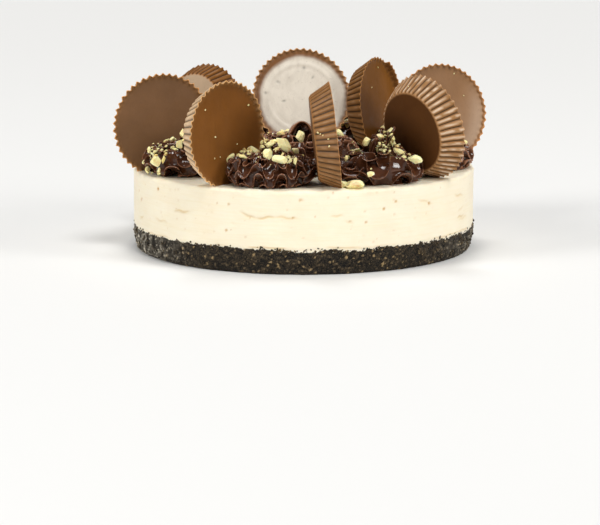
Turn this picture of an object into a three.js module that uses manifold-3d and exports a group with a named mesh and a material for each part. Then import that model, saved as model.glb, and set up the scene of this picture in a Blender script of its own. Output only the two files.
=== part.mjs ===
// Round mousse cake: a pressed crumb base, a disc of peanut mousse, a ring of piped ganache swirls with
// one more in the middle, and fluted chocolate cups standing on edge between the swirls.
// Millimetres, +Z up. The origin is the centre of the flat underside; -Y is the front of the cake.
import * as THREE from "three";
import { mergeVertices } from "three/addons/utils/BufferGeometryUtils.js";
import Module from "manifold-3d";

// ---- driving dimensions ----
const CAKE_R = 87; // radius of the mousse
const BASE_H = 12.6; // thickness of the crumb base
const MOUSSE_H = 28.2; // thickness of the mousse
const TOP_Z = BASE_H + MOUSSE_H; // level of the mousse's top
const EDGE_ROUND = 1.6; // soft shoulder of the mousse
const BASE_TAPER = 1.1; // how far the base draws in at its foot

const CUP_R = 25.9; // mean radius of a cup's wide face
const CUP_FOOT_R = 20.2; // radius of a cup's narrow face
const CUP_T = 10.6; // thickness of a cup
const FLUTES = 46; // pleats round a cup
const FLUTE_RIM = 0.6; // half depth of a pleat at the wide face
const FLUTE_FOOT = 0.25; // half depth of a pleat at the narrow face
const LIP_W = 0.9; // width of the raised lip round the wide face
const LIP_H = 1.2; // height of that lip above the face

const SWIRL_R = 20.4; // largest radius of a swirl
const SWIRL_H = 22; // height of a swirl
const SWIRL_RIDGES = 6; // ridges left by the star nozzle
const SWIRL_TURNS = 2.2; // turns of the rope from the foot to the tip
const SWIRL_RING_R = 65.5; // radius of the ring that the swirls stand on

const SEAT = 0.05; // air under a swirl
const GAP = 0.35; // air between a cup and what it is pressed into

const wasm = await Module();
wasm.setup();

// ---- helpers ----
const deg = THREE.MathUtils.degToRad;

// A profile of [radius, height] pairs turned about Z, each vertex then moved by shape(r, theta, z) -> [r, theta, z].
function turned(profile, segments, shape) {
  const g = new THREE.LatheGeometry(
    profile.map(([r, z]) => new THREE.Vector2(r, z)),
    segments,
  );
  g.rotateX(Math.PI / 2);
  g.deleteAttribute("normal");
  g.deleteAttribute("uv");
  const p = g.getAttribute("position");
  for (let i = 0; i < p.count; i++) {
    const x = p.getX(i),
      y = p.getY(i),
      z = p.getZ(i);
    const r = Math.hypot(x, y);
    if (r < 1e-6) {
      p.setXYZ(i, 0, 0, z);
      continue;
    }
    const [r2, t2, z2] = shape(r, Math.atan2(y, x), z);
    p.setXYZ(i, r2 * Math.cos(t2), r2 * Math.sin(t2), z2);
  }
  return g;
}

function solid(geometry, matrix) {
  const g = geometry.index ? geometry.toNonIndexed() : geometry.clone();
  if (matrix) g.applyMatrix4(matrix);
  const m = mergeVertices(g, 1e-3);
  return new wasm.Manifold(
    new wasm.Mesh({
      numProp: 3,
      vertProperties: m.attributes.position.array,
      triVerts: new Uint32Array(m.index.array),
    }),
  );
}

function geometryOf(manifold) {
  const m = manifold.getMesh(),
    n = m.numProp,
    v = new Float32Array(m.numVert * 3);
  for (let i = 0; i < m.numVert; i++)
    v.set(m.vertProperties.subarray(i * n, i * n + 3), i * 3);
  const g = new THREE.BufferGeometry();
  g.setAttribute("position", new THREE.BufferAttribute(v, 3));
  g.setIndex(new THREE.BufferAttribute(new Uint32Array(m.triVerts), 1));
  g.computeVertexNormals();
  return g;
}

// The largest piece of a solid that a cut may have left in several.
function largest(manifold) {
  return manifold
    .decompose()
    .reduce((a, b) => (a.volume() >= b.volume() ? a : b));
}

// ---- materials ----
const look = (name, color, roughness) => {
  const m = new THREE.MeshStandardMaterial({ color, roughness, metalness: 0 });
  m.name = name;
  return m;
};
const crumb = look("crumb", 0x2e2620, 0.95);
const mousse = look("mousse", 0xf6ecca, 0.55);
const ganache = look("ganache", 0x2b1710, 0.3);
const milk = look("milk_chocolate", 0x6f4422, 0.42);
const bloomed = look("bloomed_chocolate", 0xcbbfb4, 0.45);

// ---- cups ----
// heading: the way the wide face looks, 0 to the front and positive to the right; lift: how far it looks up;
// tall: by how much the lip is taller than usual, and between which angles on the wide face.
const CUPS = [
  { name: "cup_left", at: [-70.7, -17, 63.1], heading: 23.4, lift: 0, spin: 0.2 },
  { name: "cup_back_left", at: [-51.4, 35, 63.0], heading: 140, lift: -8.4, spin: 1.1 },
  { name: "cup_front_left", at: [-36.5, -65, 64.4], heading: 48.9, lift: 2.3, spin: 0.5, tall: [0.9, 20, 95] },
  { name: "cup_back", at: [-0.9, 33, 72.0], heading: 9, lift: 18.5, spin: 0.8 },
  { name: "cup_front", at: [15.2, -68, 64.4], heading: 92, lift: 6.5, spin: 0.1 },
  { name: "cup_back_right", at: [40.7, 40, 66.0], heading: 65, lift: 7, spin: 1.7, tall: [2.2, -45, 62] },
  { name: "cup_front_right", at: [60.8, -42, 65.8], heading: 130, lift: 11.6, spin: 0.9 },
  { name: "cup_right", at: [70.2, 6, 65.8], heading: 21, lift: 6, spin: 0.4 },
];

// Local frame of a cup: the wide face at z = 0 looking along +Z, the narrow face at z = -CUP_T.
function cupMatrix(c) {
  const a = deg(c.heading),
    e = deg(c.lift);
  const n = new THREE.Vector3(
    Math.cos(e) * Math.sin(a),
    -Math.cos(e) * Math.cos(a),
    Math.sin(e),
  );
  const u = new THREE.Vector3(Math.cos(a), Math.sin(a), 0);
  const v = new THREE.Vector3().crossVectors(n, u);
  return new THREE.Matrix4()
    .makeBasis(u, v, n)
    .setPosition(...c.at)
    .multiply(new THREE.Matrix4().makeRotationZ(c.spin));
}

function cupBody(spin, [extra, from, to]) {
  return turned(
    [
      [0, -CUP_T],
      [CUP_FOOT_R, -CUP_T],
      [CUP_R, 0],
      [0, 0],
    ],
    2 * FLUTES,
    (r, t, z) => {
      const depth = THREE.MathUtils.lerp(FLUTE_RIM, FLUTE_FOOT, -z / CUP_T);
      const turn = THREE.MathUtils.euclideanModulo(t + spin - deg(from), 2 * Math.PI);
      const inside = turn <= deg(to - from);
      const taller = z > -0.01 && inside ? extra : 0;
      return [r + depth * Math.cos(FLUTES * t), t, z + taller];
    },
  );
}
const cupDish = turned(
  [
    [0, -LIP_H],
    [CUP_R - FLUTE_RIM - LIP_W - 0.3, -LIP_H],
    [CUP_R - FLUTE_RIM - LIP_W + 0.4, 4],
    [0, 4],
  ],
  FLUTES / 2,
  (r, t, z) => [r, t, z],
);
const cupGeometry = ({ spin, tall = [0, 0, 0] }) =>
  geometryOf(solid(cupBody(spin, tall)).subtract(solid(cupDish)));

// What a cup needs round it: a plain cone frustum, a little larger all over.
const cupRoom = (() => {
  const sides = 20,
    grow = 1 / Math.cos(Math.PI / sides);
  return turned(
    [
      [0, -CUP_T - GAP],
      [(CUP_FOOT_R + FLUTE_FOOT + GAP) * grow, -CUP_T - GAP],
      [(CUP_R + FLUTE_RIM + GAP) * grow, GAP],
      [0, GAP],
    ],
    sides,
    (r, t, z) => [r, t, z],
  );
})();
const rooms = CUPS.map((c) => solid(cupRoom, cupMatrix(c)));

// ---- swirls ----
// A rope piped through a star nozzle, wound inwards and upwards: the turns show as a terrace that climbs with
// the angle, and the nozzle's ridges cross it at a slant.
const SWIRLS = [
  { name: "swirl_front_left", angle: -64.5, ring: 66, size: 1.03, height: 1.0, turn: 0.4 },
  { name: "swirl_front", angle: -14.5, size: 1.07, height: 0.98, turn: 1.9 },
  { name: "swirl_front_right", angle: 34.5, size: 1.05, height: 1.04, turn: 3.1 },
  { name: "swirl_right", angle: 83, ring: 66, size: 1.02, height: 0.98, turn: 4.6 },
  { name: "swirl_back_right", angle: 122, ring: 60, size: 0.88, height: 0.96, turn: 0.9 },
  { name: "swirl_back", angle: 159, size: 0.98, height: 1.0, turn: 2.4 },
  { name: "swirl_back_left", angle: 208, size: 0.98, height: 0.98, turn: 3.8 },
  { name: "swirl_left", angle: 257, size: 0.94, height: 1.0, turn: 5.3 },
  { name: "swirl_middle", angle: 0, ring: 1, size: 1.38, height: 1.02, turn: 1.2, long: 1.16 },
];

// Radius of the heap at a height, both as shares of the whole: full at the foot, drawn in to a small blunt tip.
const SWIRL_HEAP = [
  [0, 0],
  [0.9, 0],
  [1.0, 0.1],
  [1.0, 0.22],
  [0.92, 0.34],
  [0.82, 0.46],
  [0.69, 0.58],
  [0.55, 0.7],
  [0.4, 0.81],
  [0.25, 0.91],
  [0, 1],
];

function swirlGeometry({ size, height, turn, long = 1 }) {
  const R = SWIRL_R * size,
    H = SWIRL_H * height;
  const g = turned(
    SWIRL_HEAP.map(([r, z]) => [r * R, z * H]),
    4 * SWIRL_RIDGES,
    (r, t, z) => {
      const up = THREE.MathUtils.clamp(z / H, 0, 1);
      const inside = Math.sqrt(Math.abs(Math.sin(Math.PI * up)));
      const terrace = Math.sin(2 * Math.PI * SWIRL_TURNS * up - (t - turn));
      const ridge = Math.cos(SWIRL_RIDGES * (t - turn) - 9 * up);
      const k = 0.93 + 0.09 * terrace * inside + 0.06 * ridge;
      return [r * k, t, z];
    },
  );
  return g.scale(1, long, 1);
}

// ---- assembly ----
const cake = new THREE.Group();
cake.name = "mousse_cake";

// Pressed crumb: flat underneath, a little drawn in at its foot, its outline slightly uneven.
const baseGeometry = turned(
  [
    [0, 0],
    [CAKE_R - BASE_TAPER - 0.9, 0],
    [CAKE_R - BASE_TAPER, 1.2],
    [CAKE_R - 0.35 * BASE_TAPER, 0.6 * BASE_H],
    [CAKE_R - 0.2, BASE_H],
    [0, BASE_H],
  ],
  56,
  (r, t, z) => [
    r > 0.5 * CAKE_R
      ? r + 0.28 * Math.sin(5 * t + 0.7) + 0.22 * Math.sin(11 * t + 2 + 0.2 * z)
      : r,
    t,
    z,
  ],
);
const base = new THREE.Mesh(baseGeometry, crumb);
base.name = "crumb_base";
cake.add(base);

// The mousse: set in a ring, so its side is upright, with a soft shoulder; the cups are pressed into its top.
const mousseGeometry = turned(
  [
    [0, BASE_H],
    [CAKE_R - 0.4, BASE_H],
    [CAKE_R, BASE_H + 0.8],
    [CAKE_R, TOP_Z - EDGE_ROUND],
    [CAKE_R - 0.3 * EDGE_ROUND, TOP_Z - 0.3 * EDGE_ROUND],
    [CAKE_R - EDGE_ROUND, TOP_Z],
    [0, TOP_Z],
  ],
  64,
  (r, t, z) => [
    r > 0.5 * CAKE_R
      ? r + 0.15 * Math.sin(3 * t + 1.1) + 0.1 * Math.sin(7 * t + 0.15 * z)
      : r,
    t,
    z,
  ],
);
let mousseSolid = solid(mousseGeometry);
for (const room of rooms) mousseSolid = mousseSolid.subtract(room);
const mousseMesh = new THREE.Mesh(geometryOf(largest(mousseSolid)), mousse);
mousseMesh.name = "mousse";
cake.add(mousseMesh);

for (const s of SWIRLS) {
  const a = deg(s.angle),
    ring = s.ring === undefined ? SWIRL_RING_R : s.ring;
  const place = new THREE.Matrix4().makeTranslation(
    ring * Math.sin(a),
    -ring * Math.cos(a),
    TOP_Z + SEAT,
  );
  let body = solid(swirlGeometry(s), place);
  for (const room of rooms) body = body.subtract(room);
  const mesh = new THREE.Mesh(geometryOf(largest(body)), ganache);
  mesh.name = s.name;
  cake.add(mesh);
}

for (const c of CUPS) {
  const mesh = new THREE.Mesh(cupGeometry(c), c.name === "cup_back" ? bloomed : milk);
  mesh.name = c.name;
  mesh.applyMatrix4(cupMatrix(c));
  cake.add(mesh);
}

export default cake;
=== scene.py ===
"""Looks of the mousse cake: crumb base, mousse, fluted chocolate cups, piped ganache swirls, chopped nuts and crumbs.
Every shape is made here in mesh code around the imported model. Sizes in the tables are millimetres."""

import math

import bmesh
import bpy
import numpy as np
from mathutils import Matrix, Vector
from mathutils.bvhtree import BVHTree
from mathutils.kdtree import KDTree


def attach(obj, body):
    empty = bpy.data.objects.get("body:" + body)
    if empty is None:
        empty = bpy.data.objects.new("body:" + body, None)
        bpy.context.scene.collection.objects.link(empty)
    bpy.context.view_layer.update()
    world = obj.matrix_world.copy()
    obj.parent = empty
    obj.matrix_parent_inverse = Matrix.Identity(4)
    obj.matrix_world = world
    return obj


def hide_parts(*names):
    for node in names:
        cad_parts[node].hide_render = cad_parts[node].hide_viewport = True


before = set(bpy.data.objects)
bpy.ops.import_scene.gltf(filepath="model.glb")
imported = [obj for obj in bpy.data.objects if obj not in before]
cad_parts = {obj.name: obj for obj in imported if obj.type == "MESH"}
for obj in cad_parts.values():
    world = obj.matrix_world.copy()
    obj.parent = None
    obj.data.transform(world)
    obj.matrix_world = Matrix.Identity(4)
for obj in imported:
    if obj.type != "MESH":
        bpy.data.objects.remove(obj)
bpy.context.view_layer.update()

MM = 0.001
CAKE_R, BASE_H, TOP_Z = 87.0, 12.6, 40.8
CUP_R, CUP_FOOT_R, CUP_T, FLUTES = 25.9, 20.2, 10.6, 46
FLUTE_RIM, FLUTE_FOOT, LIP_H = 0.6, 0.25, 1.2

# ---------------------------------------------------------------- camera
# Where the photograph was taken from, worked out from the ellipses of the cake's rims.
CAM_AT = (-1.83, -1087.5, 198.4)
CAM_PITCH = math.radians(10.87)
CAM_F = 2138.0  # focal length in pixels of the 600-pixel-wide frame

cam_data = bpy.data.cameras.new("camera")
cam_data.sensor_width = 36
cam_data.lens = CAM_F * 36 / 600
cam_data.clip_start = 0.01
cam = bpy.data.objects.new("camera", cam_data)
cam.location = Vector(CAM_AT) * MM
cam.rotation_euler = (math.pi / 2 - CAM_PITCH, 0, 0)
bpy.context.scene.collection.objects.link(cam)
bpy.context.scene.camera = cam


def sight(px, py):
    """The line of sight through a pixel of the 600x525 frame: start and direction, millimetres."""
    x, y = (px - 300) / CAM_F, (262.5 - py) / CAM_F
    c, s = math.cos(CAM_PITCH), math.sin(CAM_PITCH)
    d = Vector((x, c + y * s, -s + y * c)).normalized()
    return Vector(CAM_AT), d


# ---------------------------------------------------------------- noise
def hash01(ix, iy, iz, seed):
    h = ix * 73856093 ^ iy * 19349663 ^ iz * 83492791 ^ (seed * 265443576)
    h &= 0xFFFFFFFF
    for _ in range(2):
        h = ((h ^ (h >> 16)) * 0x45D9F3B) & 0xFFFFFFFF
    return (h ^ (h >> 16)) / 4294967295.0


def noise3(p, seed=0):
    """Smooth noise of points (..., 3) with features about 1 unit across, from -1 to 1."""
    p = np.asarray(p, float)
    i = np.floor(p).astype(np.int64)
    f = p - i
    f = f * f * f * (f * (f * 6 - 15) + 10)
    out = 0
    for dx in (0, 1):
        wx = f[..., 0] if dx else 1 - f[..., 0]
        for dy in (0, 1):
            wy = f[..., 1] if dy else 1 - f[..., 1]
            for dz in (0, 1):
                wz = f[..., 2] if dz else 1 - f[..., 2]
                out = out + wx * wy * wz * hash01(
                    i[..., 0] + dx, i[..., 1] + dy, i[..., 2] + dz, seed
                )
    return out * 2 - 1


def fbm(p, seed=0, octaves=3):
    p = np.asarray(p, float)
    out, a, total = 0, 1.0, 0.0
    for k in range(octaves):
        out = out + a * noise3(p * 2**k, seed + 17 * k)
        total += a
        a *= 0.5
    return out / total


def smooth(x, a, b):
    t = np.clip((x - a) / (b - a), 0, 1)
    return t * t * (3 - 2 * t)


# ---------------------------------------------------------------- meshes
def new_object(name, verts, quads=None, tris=None, attributes=None, smooth_shade=True):
    """A mesh object from arrays; verts in millimetres. Faces are turned to look outwards."""
    verts = np.asarray(verts, np.float32).reshape(-1, 3) * MM
    faces, sizes = [], []
    if quads is not None and len(quads):
        q = np.asarray(quads, np.int32).reshape(-1, 4)
        faces.append(q.ravel())
        sizes.append(np.full(len(q), 4, np.int32))
    if tris is not None and len(tris):
        t = np.asarray(tris, np.int32).reshape(-1, 3)
        faces.append(t.ravel())
        sizes.append(np.full(len(t), 3, np.int32))
    loops, sizes = np.concatenate(faces), np.concatenate(sizes)
    me = bpy.data.meshes.new(name)
    me.vertices.add(len(verts))
    me.vertices.foreach_set("co", verts.ravel())
    me.loops.add(len(loops))
    me.loops.foreach_set("vertex_index", loops)
    me.polygons.add(len(sizes))
    starts = np.concatenate([[0], np.cumsum(sizes)[:-1]]).astype(np.int32)
    me.polygons.foreach_set("loop_start", starts)
    me.update(calc_edges=True)
    me.validate()
    # signed volume, to turn the faces outwards
    me.calc_loop_triangles()
    lt = np.zeros(len(me.loop_triangles) * 3, np.int32)
    me.loop_triangles.foreach_get("vertices", lt)
    a, b, c = (verts[lt.reshape(-1, 3)[:, k]].astype(float) for k in range(3))
    if np.einsum("ij,ij->i", a, np.cross(b, c)).sum() < 0:
        me.flip_normals()
    for key, values in (attributes or {}).items():
        at = me.attributes.new(key, "FLOAT", "POINT")
        at.data.foreach_set("value", np.asarray(values, np.float32).ravel())
    me.polygons.foreach_set("use_smooth", np.full(len(me.polygons), smooth_shade))
    o = bpy.data.objects.new(name, me)
    bpy.context.scene.collection.objects.link(o)
    return o


def grid_faces(m, n, wrap=True):
    """Quads of m rows of n points, each row closed on itself."""
    i, j = np.meshgrid(np.arange(m - 1), np.arange(n if wrap else n - 1), indexing="ij")
    k = (j + 1) % n
    return np.stack([i * n + j, i * n + k, (i + 1) * n + k, (i + 1) * n + j], -1).reshape(-1, 4)


def capped(rows):
    """Vertices, quads and triangles of closed rows (m, n, 3), with a centre point at each end."""
    m, n, _ = rows.shape
    verts = np.concatenate([rows.reshape(-1, 3), rows[0].mean(0)[None], rows[-1].mean(0)[None]])
    j = np.arange(n)
    k = (j + 1) % n
    first = np.stack([np.full(n, m * n), k, j], -1)
    last = np.stack([np.full(n, m * n + 1), (m - 1) * n + j, (m - 1) * n + k], -1)
    return verts, grid_faces(m, n), np.concatenate([first, last])


def evaluated(o):
    """Applies an object's modifiers."""
    dg = bpy.context.evaluated_depsgraph_get()
    me = bpy.data.meshes.new_from_object(o.evaluated_get(dg))
    o.modifiers.clear()
    old = o.data
    o.data = me
    bpy.data.meshes.remove(old)
    me.name = o.name
    return o


def piece(o, slot, *nodes):
    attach(o, "root")
    if nodes:
        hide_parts(*nodes)
    return o


# ---------------------------------------------------------------- materials
class Nodes:
    """A node tree that is written as short calls."""

    def __init__(self, name):
        self.mat = bpy.data.materials.new(name)
        self.mat.use_nodes = True
        self.t = self.mat.node_tree
        self.t.nodes.clear()
        self.out = self.t.nodes.new("ShaderNodeOutputMaterial")
        self.bsdf = self.t.nodes.new("ShaderNodeBsdfPrincipled")
        self.t.links.new(self.bsdf.outputs[0], self.out.inputs[0])

    def put(self, target, value):
        if isinstance(value, bpy.types.NodeSocket):
            self.t.links.new(value, target)
        elif value is not None:
            if hasattr(target.default_value, "__len__") and not hasattr(value, "__len__"):
                value = (value,) * len(target.default_value)
            if hasattr(target.default_value, "__len__") and len(target.default_value) == 4 and len(value) == 3:
                value = (*value, 1)
            target.default_value = value

    def set(self, **values):
        names = {k.name.lower().replace(" ", "_"): k for k in self.bsdf.inputs}
        for k, v in values.items():
            self.put(names[k], v)

    def coords(self):
        return self.t.nodes.new("ShaderNodeTexCoord").outputs["Object"]

    def scaled(self, vector, scale):
        n = self.t.nodes.new("ShaderNodeMapping")
        self.put(n.inputs["Vector"], vector)
        self.put(n.inputs["Scale"], scale)
        return n.outputs[0]

    def noise(self, vector, scale, detail=3.0, rough=0.5, distortion=0.0):
        n = self.t.nodes.new("ShaderNodeTexNoise")
        self.put(n.inputs["Vector"], vector)
        n.inputs["Scale"].default_value = scale
        n.inputs["Detail"].default_value = detail
        n.inputs["Roughness"].default_value = rough
        n.inputs["Distortion"].default_value = distortion
        return n.outputs["Fac"]

    def cells(self, vector, scale, feature="F1", out="Distance", randomness=1.0):
        n = self.t.nodes.new("ShaderNodeTexVoronoi")
        n.feature = feature
        self.put(n.inputs["Vector"], vector)
        n.inputs["Scale"].default_value = scale
        n.inputs["Randomness"].default_value = randomness
        return n.outputs[out]

    def ramp(self, fac, *stops, smooth_ramp=False):
        """Maps a number to a colour or number: stops are (position, value)."""
        n = self.t.nodes.new("ShaderNodeValToRGB")
        self.put(n.inputs[0], fac)
        if smooth_ramp:
            n.color_ramp.interpolation = "EASE"
        e = n.color_ramp.elements
        while len(e) < len(stops):
            e.new(0.5)
        for el, (pos, col) in zip(e, stops):
            el.position = pos
            el.color = (*col, 1) if hasattr(col, "__len__") else (col, col, col, 1)
        return n.outputs[0]

    def mix(self, fac, a, b, blend="MIX"):
        n = self.t.nodes.new("ShaderNodeMix")
        n.data_type = "RGBA"
        n.blend_type = blend
        self.put(n.inputs["Factor"], fac)
        self.put(n.inputs[6], a)
        self.put(n.inputs[7], b)
        return n.outputs[2]

    def math(self, op, a, b=None, c=None, clamp=False):
        n = self.t.nodes.new("ShaderNodeMath")
        n.operation = op
        n.use_clamp = clamp
        for s, v in zip(n.inputs, (a, b, c)):
            self.put(s, v)
        return n.outputs[0]

    def attribute(self, name):
        n = self.t.nodes.new("ShaderNodeAttribute")
        n.attribute_name = name
        return n.outputs["Fac"]

    def bump(self, height, distance, strength=1.0, normal=None):
        n = self.t.nodes.new("ShaderNodeBump")
        self.put(n.inputs["Height"], height)
        n.inputs["Distance"].default_value = distance
        n.inputs["Strength"].default_value = strength
        self.put(n.inputs["Normal"], normal)
        return n.outputs[0]


def srgb(r, g, b):
    """A colour given as 0-255 screen values."""
    return tuple(
        (v / 255 / 12.92) if v / 255 <= 0.04045 else ((v / 255 + 0.055) / 1.055) ** 2.4
        for v in (r, g, b)
    )


# mousse: cream, faintly mottled, tan specks of nut, satin; its creases and a thin line along its foot are painted tan
# as painted shade
m = Nodes("mousse")
co = m.coords()
mottle = m.noise(co, 60, 4, 0.6)
streak = m.noise(m.scaled(co, (60, 60, 900)), 1.0, 3, 0.6)
body = m.mix(m.ramp(mottle, (0.3, 0.0), (0.7, 1.0)), srgb(245, 233, 207), srgb(249, 240, 217))
body = m.mix(m.ramp(streak, (0.45, 0.0), (0.75, 0.3)), body, srgb(240, 224, 184))
# painted shade: the creases and the thin line along the foot of the mousse are painted tan
body = m.mix(m.attribute("crease"), body, srgb(216, 184, 124))
body = m.mix(m.attribute("speck"), body, srgb(196, 148, 72))
m.set(base_color=body, roughness=m.ramp(mottle, (0.3, 0.5), (0.7, 0.62)), ior=1.42)
m.set(subsurface_weight=0.15, subsurface_radius=(1.0, 0.75, 0.45), subsurface_scale=0.0015)
fine = m.noise(co, 1500, 3, 0.6)
m.set(normal=m.bump(m.math("ADD", m.math("MULTIPLY", fine, 0.6), streak), 0.00012, 0.6))
MOUSSE = m.mat

# crumb: near-black cookie with lighter grains; its left and right ends are painted lighter and greyer as painted light,
# with lighter patches round the back
m = Nodes("crumb")
co = m.coords()
tone = m.attribute("tone")
grain = m.cells(co, 1600, out="Color")
small = m.noise(co, 2600, 3, 0.7)
body = m.mix(tone, srgb(5, 4, 3), srgb(106, 90, 66))
body = m.mix(m.ramp(small, (0.55, 0.0), (0.7, 0.7)), body, srgb(128, 110, 84))
body = m.mix(m.ramp(small, (0.34, 0.85), (0.48, 0.0)), body, srgb(8, 6, 4))
body = m.mix(m.attribute("pale"), body, srgb(168, 142, 100))
# painted light: the side-lit ends of the base painted lighter and greyer, with lighter patches round the back
body = m.mix(m.attribute("painted_light_and_dust"), body, m.mix(tone, srgb(60, 55, 47), srgb(250, 240, 218)))
m.set(base_color=body, roughness=0.8, specular_ior_level=0.3)
relief = m.math("ADD", m.cells(co, 1300), m.math("MULTIPLY", small, 0.7))
m.set(normal=m.bump(relief, 0.0004, 0.8))
CRUMB = m.mat

# ganache: dark and glossy; its thin lips are painted lighter as a painted highlight and the hollows between them
# painted near-black as painted shade
m = Nodes("ganache")
co = m.coords()
tone = m.noise(co, 180, 3, 0.5)
body = m.mix(m.ramp(tone, (0.35, 0.0), (0.7, 1.0)), srgb(64, 35, 20), srgb(82, 47, 28))
height = m.attribute("height")
# painted highlight: the lips that stand out are given a light brown
body = m.mix(m.ramp(height, (0.55, 0.0), (0.76, 0.95)), body, srgb(156, 108, 80))
# painted shade: the hollows are darkened nearly to black
body = m.mix(m.ramp(height, (0.22, 0.95), (0.47, 0.0)), body, srgb(15, 7, 4))
m.set(base_color=body, roughness=m.ramp(m.noise(co, 400, 3, 0.6), (0.3, 0.06), (0.75, 0.13)))
m.set(ior=1.47, specular_ior_level=0.4)
m.set(normal=m.bump(m.noise(co, 900, 2, 0.5), 0.00008, 0.5))
GANACHE = m.mat


def chocolate(name, face, wall, rim_highlight, level, bloom_and_sheen=None, rough=0.4, crest=0.25, rib_highlight_colour=None):
    """Moulded milk chocolate: face and wall colours, a painted highlight along the thin edge, painted highlights on the
    rib crests, painted shade in the grooves and on the rib flanks, and on two cups a pale bloom that is partly a
    painted sheen.
    """
    m = Nodes(name)
    co = m.coords()
    big = m.noise(co, 45, 4, 0.6)
    small = m.noise(co, 700, 3, 0.6)
    on_face = m.mix(m.ramp(big, (0.3, 0.0), (0.7, 1.0)), tuple(c * 0.86 for c in face), tuple(c * 1.12 for c in face))
    # the pale veil: on cup_back partly bloom and mostly a painted reflection of the key light, on cup_right a painted
    # highlight towards one side
    if bloom_and_sheen is not None:
        smear = m.noise(m.scaled(co, (1, 1, 0.45)), 110, 5, 0.7, 1.2)
        veil = m.mix(m.ramp(smear, (0.42, 0.0), (0.7, 1.0)), bloom_and_sheen, tuple(c * s for c, s in zip(bloom_and_sheen, (0.87, 0.86, 0.85))))
        on_face = m.mix(m.attribute("bloom_and_sheen"), on_face, veil)
    on_wall = m.mix(m.ramp(big, (0.3, 0.0), (0.7, 1.0)), tuple(c * 0.85 for c in wall), tuple(c * 1.15 for c in wall))
    # painted shade: the sides of the ribs painted a darker, more orange brown
    on_wall = m.mix(m.math("MULTIPLY", m.attribute("flank"), 0.55), on_wall, tuple(c * s for c, s in zip(wall, (1.05, 0.8, 0.6))))
    body = m.mix(m.attribute("side"), on_face, on_wall)
    # painted highlight: the crests of the wall's ribs painted lighter, whitish on cup_front_right
    body = m.mix(m.math("MULTIPLY", m.attribute("crest"), crest), body, rib_highlight_colour or tuple(min(1, c * 1.45 + 0.09) for c in wall))
    # painted shade: the grooves of the wall and the pleat hollows on the lip painted nearly black
    body = m.mix(m.attribute("groove"), body, tuple(c * 0.12 for c in wall))
    body = m.mix(m.attribute("pit"), body, tuple(c * 0.5 for c in bloom_and_sheen) if bloom_and_sheen else tuple(c * 0.75 for c in wall))
    # painted highlight: a bright line along the serrated rim
    body = m.mix(m.attribute("edge"), body, rim_highlight)
    body = m.mix(m.ramp(small, (0.6, 0.0), (0.8, 0.35)), body, tuple(c * 0.6 for c in face))
    m.set(base_color=body, ior=1.46, specular_ior_level=level)
    m.set(roughness=m.ramp(m.noise(co, 260, 4, 0.6), (0.3, rough - 0.07), (0.75, rough + 0.1)))
    m.set(normal=m.bump(m.math("ADD", small, m.math("MULTIPLY", m.noise(co, 120, 2, 0.5), 1.5)), 0.00008, 0.5))
    return m.mat


# chopped nuts
m = Nodes("nuts")
co = m.coords()
tone = m.attribute("tone")
body = m.mix(tone, srgb(255, 229, 142), srgb(255, 248, 188))
body = m.mix(m.ramp(m.noise(co, 420, 3, 0.6), (0.48, 0.0), (0.72, 0.55)), body, srgb(234, 186, 104))
body = m.mix(m.ramp(m.noise(m.scaled(co, (1, 1, 1.3)), 130, 2, 0.5), (0.62, 0.0), (0.7, 0.6)), body, srgb(214, 154, 84))
m.set(base_color=body, roughness=0.5, subsurface_weight=0.2, subsurface_radius=(1.0, 0.6, 0.3), subsurface_scale=0.0015)
m.set(normal=m.bump(m.noise(co, 1800, 3, 0.6), 0.0002, 0.7))
NUTS = m.mat

# ---------------------------------------------------------------- mousse and crumb base
PX_CREASES = [  # x0, y0, x1, y1 in the frame, depth
    (174.5, 210.0, 189.0, 211.5, 0.5),
    (241.0, 212.5, 256.0, 218.5, 0.45),
    (256.0, 218.5, 275.0, 216.5, 0.55),
    (275.0, 216.5, 296.0, 218.5, 0.4),
    (331.0, 216.5, 343.0, 215.0, 0.35),
    (346.0, 221.5, 353.0, 223.0, 0.3),
    (300.0, 199.0, 303.5, 200.5, 0.3),
    (418.0, 199.0, 432.0, 203.0, 0.3),
]
PX_SPECKS = [  # x, y in the frame, radius in mm, strength
    (158, 188.5, 0.75, 1.0), (228.5, 204, 0.6, 0.6), (226, 230, 0.65, 0.8), (141, 199, 0.9, 0.5),
    (396, 201, 0.6, 0.8), (384, 208.5, 0.65, 0.9), (366, 222, 0.6, 0.7), (333, 193, 0.4, 0.6),
    (429, 203, 0.7, 0.8), (139, 190, 0.7, 0.4), (142, 198, 0.5, 0.6), (300, 200, 0.6, 0.6),
    (217, 203, 0.5, 0.5), (231, 229.5, 0.4, 0.5), (178, 189, 0.4, 0.3), (293, 217.5, 0.5, 0.7),
    (250, 217.5, 0.4, 0.4), (350, 221, 0.5, 0.5), (315, 216.5, 0.4, 0.5), (394, 192, 0.4, 0.4),
]


def on_side(px, py):
    """Arc length and height where the line of sight through a pixel meets the cake's side."""
    o, d = sight(px, py)
    a = d.x**2 + d.y**2
    b = 2 * (o.x * d.x + o.y * d.y)
    c = o.x**2 + o.y**2 - CAKE_R**2
    t = (-b - math.sqrt(max(b * b - 4 * a * c, 0))) / (2 * a)
    p = o + d * t
    return math.atan2(p.x, -p.y) * CAKE_R, p.z


def wobble(phi):
    """How far the line between crumb base and mousse rises and falls, in mm."""
    ring = np.stack([np.cos(phi) * 6, np.sin(phi) * 6, 0 * phi], -1)
    return 0.42 * noise3(ring, 5) + 0.3 * noise3(ring * 4, 6) + 0.16 * noise3(ring * 11, 7)


def around(phi, r, z):
    return np.stack([r * np.sin(phi), -r * np.cos(phi), z], -1)


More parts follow.
